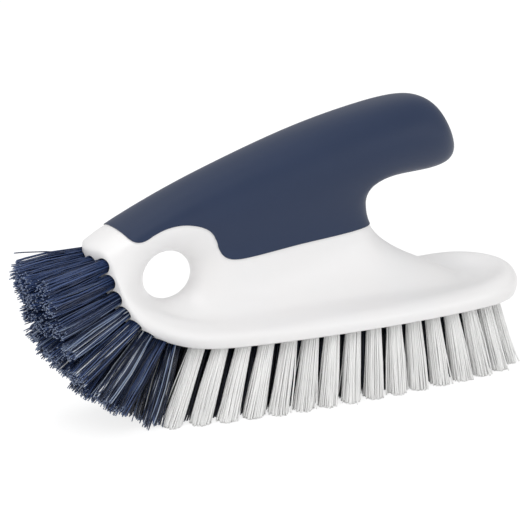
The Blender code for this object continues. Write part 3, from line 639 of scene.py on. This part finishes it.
    # The filament is set at every root, aimed at its tip and stretched to its length
    aimed = add_node(tree, "FunctionNodeAlignRotationToVector", {"Vector": strand}, axis="Z")
    roll = add_node(tree, "FunctionNodeAxisAngleToRotation",
                    {"Axis": (0.0, 0.0, 1.0), "Angle": draws["roll"]})
    turned = add_node(tree, "FunctionNodeRotateRotation", {"Rotation": aimed, "Rotate By": roll},
                      rotation_space="LOCAL")
    length = add_node(tree, "ShaderNodeVectorMath", {0: strand}, operation="LENGTH")
    size = add_node(tree, "ShaderNodeCombineXYZ", {"X": half, "Y": half, "Z": length})
    planted = add_node(tree, "GeometryNodeInstanceOnPoints",
                       {"Points": rooted, "Instance": filament, "Rotation": turned, "Scale": size})
    real = add_node(tree, "GeometryNodeRealizeInstances", {"Geometry": planted})
    smooth = add_node(tree, "GeometryNodeSetShadeSmooth", {"Geometry": real})
    finished = add_node(tree, "GeometryNodeSetMaterial", {"Geometry": smooth, "Material": given["Finish"]})
    add_node(tree, "NodeGroupOutput", {"Tufts": finished})
    return tree


tufts_of_filament = tuft_tree()
drilled = []                    # every hole: its mouth and the way its tuft points


def plant(name, node, holes, strands, seed, sizes, strays=()):
    """Tufts in their holes, each hole given as its mouth, the reach of its tuft and a side.

    A stray is a single strand that has sprung out of its tuft.
    """
    drilled.extend(hole[:2] for hole in holes)
    counts = [strands] * len(holes) + [1] * len(strays)
    holes = holes + list(strays)
    mesh = bpy.data.meshes.new(name)
    mesh.from_pydata([hole[0] for hole in holes], [], [])
    for label, at in (("reach", 1), ("side", 2)):
        values = mesh.attributes.new(label, "FLOAT_VECTOR", "POINT")
        values.data.foreach_set("vector", [c for hole in holes for c in hole[at]])
    mesh.attributes.new("strands", "INT", "POINT").data.foreach_set("value", counts)
    thing = new_object(name + "_holes", mesh)
    step = thing.modifiers.new("tufts", "NODES")
    step.node_group = tufts_of_filament
    given = {"Depth in hole": planted_share * hole_depth, "Seed": seed, **sizes}
    for item in tufts_of_filament.interface.items_tree:
        if item.name in given:
            step[item.identifier] = given[item.name]
    tufts = new_object(name, settled(thing))
    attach(tufts, "root")
    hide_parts(node)
    return tufts


def filament_finish(name, shades, cut_end, roughness, haze=0.0):
    """Extruded nylon filament: gloss along its length, and a matt dot of another colour where it
    is cut; on the navy strands that dot is paler, a painted highlight of light on the cut face.

    Shades are the share of the strands that are darker than a colour, and that colour.
    """
    cut_from_share, cut_to_share = 0.982, 0.995   # of a strand's length, where the cut end begins
    material, tree, shader = new_material(name)
    shader.inputs["Roughness"].default_value = roughness
    shader.inputs["IOR"].default_value = 1.53
    shader.inputs["Sheen Weight"].default_value = haze
    tone = add_node(tree, "ShaderNodeAttribute", attribute_name="tone").outputs["Fac"]
    along_strand = add_node(tree, "ShaderNodeAttribute", attribute_name="along").outputs["Fac"]
    ramp = add_node(tree, "ShaderNodeValToRGB", {"Fac": tone})
    for share, code in shades[1:-1]:
        ramp.color_ramp.elements.new(share)
    for stop, (share, code) in zip(ramp.color_ramp.elements, shades):
        stop.position, stop.color = share, linear(code)
    # The cut end gets its own colour; where it is paler than the strand it is a painted highlight
    end_mask = add_node(tree, "ShaderNodeMapRange", {"Value": along_strand, "From Min": cut_from_share,
                                                     "From Max": cut_to_share})
    colour = add_node(tree, "ShaderNodeMix", {"Factor": end_mask, "A": ramp, "B": linear(cut_end)},
                      data_type="RGBA")
    tree.links.new(colour.outputs[2], shader.inputs["Base Color"])
    return material


# Undyed white nylon: to the eye bright satin threads, a touch greyer at their cut ends. Light
# passes from strand to strand and keeps them pale in their own shade, and a haze stands for that.
white_nylon = filament_finish("nylon_filament_white", ((0.0, "f6f6f5"), (1.0, "fbfbfa")), "e6e6e4",
                              roughness=0.45, haze=0.5)
pale_tuft = {"Root radius": hole_radius - pale_filament / 2, "Tip radius": pale_tip_radius,
             "Thickness": pale_filament, "Bend": pale_bend, "Ragged": pale_ragged,
             "Looseness": pale_loose_share, "Darkest": 0.0, "Brightest": 1.0, "Trimmed flat": 1.0,
             "Finish": white_nylon}
pale_rows = (("near_skirt_tufts", -half_heel - skirt_tufts, -half_heel - 1),
             ("heel_tufts", -half_heel, half_heel),
             ("far_skirt_tufts", half_heel + 1, half_heel + skirt_tufts))
for seed, (node, first, last) in enumerate(pale_rows):
    holes = []
    for place in range(first, last + 1):
        root, run = along(skirt_path, heel_at + place * tuft_pitch)
        reach = floor_reach(root)
        side = (run - reach * run.dot(reach) / reach.length_squared).normalized()
        holes.append((root, reach, side))
    strays = [(holes[0][0], heel_stray_reach, Vector())] if node == "heel_tufts" else []
    plant(node.replace("tufts", "bristles"), node, holes, pale_strands, seed, pale_tuft,
          strays)

# Navy crosswise tufts
# Stiffer navy nylon in rows across the underside, inside the pale skirt, stapled in and
# trimmed flat as the skirt is. From the side they are the dark gaps between pale tufts,
# with the shade there painted into their colour.
base_rows = 14
first_row_share = 0.230         # first and last crosswise row along the base length
last_row_share = 0.865
row_tufts = 5
row_edge_gap = 0.0052           # outermost tuft inside the middle of the skirt tufts
base_strands = 70
base_filament = 0.00042         # as the pale one, thicker than it is
base_tip_radius = 0.0034
base_bend = 0.0004
base_ragged = 0.0008
base_loose_share = 0.16
first_base_seed = 10

# The same navy nylon as at the toe, with the shade of the base painted into its colour: to the
# eye nearly black, with a thin gloss on each strand and a painted highlight at its cut ends.
base_nylon_painted_shade = filament_finish("base_filament_navy_painted_shade", ((0.0, "0c1019"), (1.0, "232a3a")), "4a5264",
                               roughness=0.30)
base_tuft = {"Root radius": hole_radius - base_filament / 2, "Tip radius": base_tip_radius,
             "Thickness": base_filament, "Bend": base_bend, "Ragged": base_ragged,
             "Looseness": base_loose_share, "Darkest": 0.0, "Brightest": 1.0, "Trimmed flat": 1.0,
             "Finish": base_nylon_painted_shade}
skirt_line = np.array([(point.x, abs(point.y)) for point in skirt_path[:len(skirt_path) // 2]])
for row in range(base_rows):
    share = first_row_share + (last_row_share - first_row_share) * row / (base_rows - 1)
    x = toe_x + share * base_length
    room = np.interp(x, skirt_line[:, 0], skirt_line[:, 1]) - row_edge_gap
    holes = []
    for place in range(row_tufts):
        root = Vector((x, room * (2 * place / (row_tufts - 1) - 1), bristle_reach))
        reach = floor_reach(root)
        side = (across - reach * across.dot(reach) / reach.length_squared).normalized()
        holes.append((root, reach, side))
    plant("base_bristles_%02d" % (row + 1), "base_tufts_%02d" % (row + 1), holes,
          base_strands, first_base_seed + row, base_tuft)

# Navy toe tufts
# Eight rows of the same navy nylon climb the curved toe and lean further forward row by
# row, so that the brush scrubs into corners. Their cut ends make a ragged dark fan.
toe_bristle_length = 0.0220
toe_start_share = 0.161         # first toe row, on the underside
toe_climb_share = 0.87          # the toe rows take up this much of the way to the nose
toe_side_lean = math.radians(10)  # outermost tufts of the top row lean this far sideways
toe_scatter = math.radians(3.5)   # no two tufts lean quite alike
toe_length_shares = (0.94, 1.02)  # nor are they quite as long
toe_strands = 92
toe_filament = 0.00038          # also thicker than it is, to show
toe_root_radius = 0.0020
toe_tip_radius = 0.0027
toe_bend = 0.0007
toe_ragged = 0.0028
toe_loose_share = 0.20
toe_stray_reach = Vector((-0.0238, -0.0010, 0.0044))  # one strand has sprung out of the top row
first_toe_seed = 30
toe_lot_seed = 5
toe_ray_steps = 6               # rays cast at the toe on each side of a row's middle

# Toe rows from the underside up: tufts, share of the half width they reach, lean in degrees
# and length as a share of the usual one
toe_rows = [(5, 0.74, 19, 1.0), (5, 0.80, 37, 1.20), (5, 0.82, 47, 1.15), (5, 0.79, 56, 1.15),
            (5, 0.74, 64, 1.11), (5, 0.68, 72, 1.04), (4, 0.60, 78, 1.04), (4, 0.50, 81, 1.06)]
# Painted light: each row up is painted lighter, and the lower rows get more painted glints
painted_light_row_step = 0.08             # row by row upward the darkest strands get lighter
painted_glint_start = 1.12
painted_glint_row_step = 0.045          # and fewer strands glint

# Navy nylon in the open: to the eye deep navy threads with a crisp gloss. Most are dark; the
# lighter strands carry a painted highlight along their length, a few a painted near-white glint,
# and the cut ends a painted highlight.
toe_nylon_painted_glints = filament_finish("toe_filament_navy_painted_glints", ((0.0, "0b101d"), (0.55, "202d4b"), (0.80, "425683"),
                                                     (0.90, "98a7bf"), (1.0, "fafbfc")), "7886a2",
                             roughness=0.24)
front = placed(toe_front_shares, toe_half_width, body_height)
front = spline([front[0] + lengthwise * toe_half_width] + front, curve_steps)
lot = random.Random(toe_lot_seed)
climb = [point for point in front if point.x < toe_x + toe_start_share * base_length]
toe_row_pitch = toe_climb_share * length_of(climb) / (len(toe_rows) - 1)
for row, (count, share, degrees, longer) in enumerate(toe_rows):
    on_floor = row == 0         # the first row stands on the floor with the skirt
    centre, upward = along(climb, row * toe_row_pitch)
    outward = upward.cross(across).normalized()
    if outward.x > 0 or outward.z > 0 and abs(outward.x) < abs(outward.z):
        outward = -outward      # out of the toe is forward, or down where it faces the floor
    half = share * toe_half_width
    line = []
    for i in range(-toe_ray_steps, toe_ray_steps + 1):
        start = centre + across * half * i / toe_ray_steps + outward * toe_half_width
        line.append(skin.ray_cast(start, -outward)[0])
    lean = math.radians(degrees)
    holes = []
    for i in range(count):
        side = 2 * i / (count - 1) - 1
        root = along(line, length_of(line) * (side + 1) / 2)[0]
        turn = toe_side_lean * side * (row + 1) / len(toe_rows)
        turn += lot.uniform(-1, 1) * toe_scatter
        rise = lean + lot.uniform(-1, 1) * toe_scatter * (not on_floor)
        way = Vector((-math.sin(rise) * math.cos(turn), math.sin(turn), -math.cos(rise) * math.cos(turn)))
        reach = way * (-root.z / way.z if on_floor
                       else toe_bristle_length * longer * lot.uniform(*toe_length_shares))
        holes.append((root, reach, (across - way * across.dot(way)).normalized()))
    strays = [(holes[-1][0], toe_stray_reach, Vector())] if row == len(toe_rows) - 1 else []
    toe_tuft = {"Root radius": toe_root_radius, "Tip radius": toe_tip_radius, "Thickness": toe_filament,
                "Bend": toe_bend, "Ragged": toe_ragged, "Looseness": toe_loose_share,
                "Darkest": painted_light_row_step * row, "Brightest": min(1.0, painted_glint_start - painted_glint_row_step * row),
                "Trimmed flat": float(on_floor), "Finish": toe_nylon_painted_glints}
    plant("toe_bristles_%d" % (row + 1), "toe_tufts_%d" % (row + 1), holes,
          toe_strands, first_toe_seed + row, toe_tuft, strays)

# Tuft holes
# Every tuft has a blind hole of its own in the white body, drilled along the tuft's lean
# before the tuft is stapled in. The drills are one mesh, cut out of the body in one go.
drill_sides = 18
body_fold = math.radians(35)    # an edge sharper than this isn't shaded as a round one
drill = bmesh.new()
for mouth, reach in drilled:
    turn = reach.to_track_quat("Z", "Y").to_matrix().to_4x4()
    bmesh.ops.create_cone(drill, cap_ends=True, segments=drill_sides, radius1=hole_radius,
                          radius2=hole_radius, depth=2 * hole_depth, matrix=Matrix.Translation(mouth) @ turn)
drill_mesh = bpy.data.meshes.new("drills")
drill.to_mesh(drill_mesh)
drill.free()
drills = new_object("drills", drill_mesh)
cut(body, "DIFFERENCE", drills)
body.modifiers["difference"].use_self = True
bpy.context.view_layer.update()
drilled_mesh = bpy.data.meshes.new_from_object(body.evaluated_get(bpy.context.evaluated_depsgraph_get()))
body.modifiers.clear()
body.data = drilled_mesh
body.data.set_sharp_from_angle(angle=body_fold)
bpy.data.objects.remove(drills)

# Floor
# A sheet of white paper. To the eye it is the same white everywhere, with only a faint shadow
# under the brush, because part of what the camera sees of it is a plain glow.
floor_half = 3.0
paper_white = 0.90
glow_share = 0.62
glow_strength = 1.26
floor_mesh = bpy.data.meshes.new("floor")
floor_mesh.from_pydata([(-floor_half, -floor_half, 0), (floor_half, -floor_half, 0),
                        (floor_half, floor_half, 0), (-floor_half, floor_half, 0)], [], [(0, 1, 2, 3)])
floor = new_object("floor", floor_mesh)
paper, tree, shader = new_material("white_paper_floor")
shader.inputs["Roughness"].default_value = 1.0
shader.inputs["Specular IOR Level"].default_value = 0.0
shader.inputs["Base Color"].default_value = (paper_white, paper_white, paper_white, 1.0)
rays = add_node(tree, "ShaderNodeLightPath").outputs
seen = add_node(tree, "ShaderNodeMath", {0: rays["Is Camera Ray"], 1: rays["Is Glossy Ray"]},
                operation="MAXIMUM")
seen = add_node(tree, "ShaderNodeMath", {0: seen, 1: rays["Is Transmission Ray"]}, operation="MAXIMUM")
share_seen = add_node(tree, "ShaderNodeMath", {0: seen, 1: glow_share}, operation="MULTIPLY")
glow = add_node(tree, "ShaderNodeEmission", {"Strength": glow_strength})
mixed = add_node(tree, "ShaderNodeMixShader", {0: share_seen, 1: shader, 2: glow})
tree.links.new(mixed.outputs[0], tree.nodes["Material Output"].inputs["Surface"])
floor.data.materials.append(paper)

# Light
# A white studio: soft light from all round, which the camera sees as pure white, and four
# soft lamps.
room_strength = 0.62
world = bpy.data.worlds.new("studio")
bpy.context.scene.world = world
world.use_nodes = True
tree = world.node_tree
rays = add_node(tree, "ShaderNodeLightPath").outputs
seen = add_node(tree, "ShaderNodeMath", {0: rays["Is Camera Ray"], 1: rays["Is Transmission Ray"]},
                operation="MAXIMUM")
strength = add_node(tree, "ShaderNodeMapRange", {"Value": seen, "To Min": room_strength, "To Max": 1.0})
tree.links.new(strength.outputs["Result"], tree.nodes["Background"].inputs["Strength"])
tree.nodes["Background"].inputs["Color"].default_value = (1.0, 1.0, 1.0, 1.0)

target = Vector((-0.0019, 0.0, 0.0435))   # lamps and camera are aimed here, near the brush's middle


def aimed(name, data, azimuth, elevation, distance):
    """A lamp or camera aimed at the brush; azimuth 0 looks along +Y, and 90 along -X."""
    thing = bpy.data.objects.new(name, data)
    bpy.context.scene.collection.objects.link(thing)
    turn, rise = math.radians(azimuth), math.radians(elevation)
    away = Vector((math.sin(turn) * math.cos(rise), -math.cos(turn) * math.cos(rise), math.sin(rise)))
    thing.location = target + away * distance
    thing.rotation_euler = away.to_track_quat("Z", "Y").to_euler()
    return thing


# Lamps: azimuth and elevation in degrees, distance and width in metres, watts
lamps = {"overhead_lamp": (-40, 58, 1.2, 0.8, 4.1), "back_lamp": (-150, 68, 1.2, 0.8, 2.2),
         "front_lamp": (-45, 14, 1.3, 0.9, 2.1), "right_lamp": (40, 6, 1.3, 0.8, 3.0)}
for name, (azimuth, elevation, distance, width, watts) in lamps.items():
    lamp = bpy.data.lights.new(name, "AREA")
    lamp.shape = "SQUARE"
    lamp.size = width
    lamp.energy = watts
    aimed(name, lamp, azimuth, elevation, distance)

# Camera
# A long lens at half a metre, to the left of the near side and a little above, where the
# photograph's stood. Its lens and shift bring the outline of the brush on to the photographed one.
view = bpy.data.cameras.new("camera")
view.lens = 119.7
view.sensor_width = 36.0
view.shift_x = -0.0268
view.shift_y = 0.0019
view.clip_start = 0.01
bpy.context.scene.camera = aimed("camera", view, azimuth=-29, elevation=16, distance=0.560)
bpy.context.scene.view_settings.view_transform = "Standard"
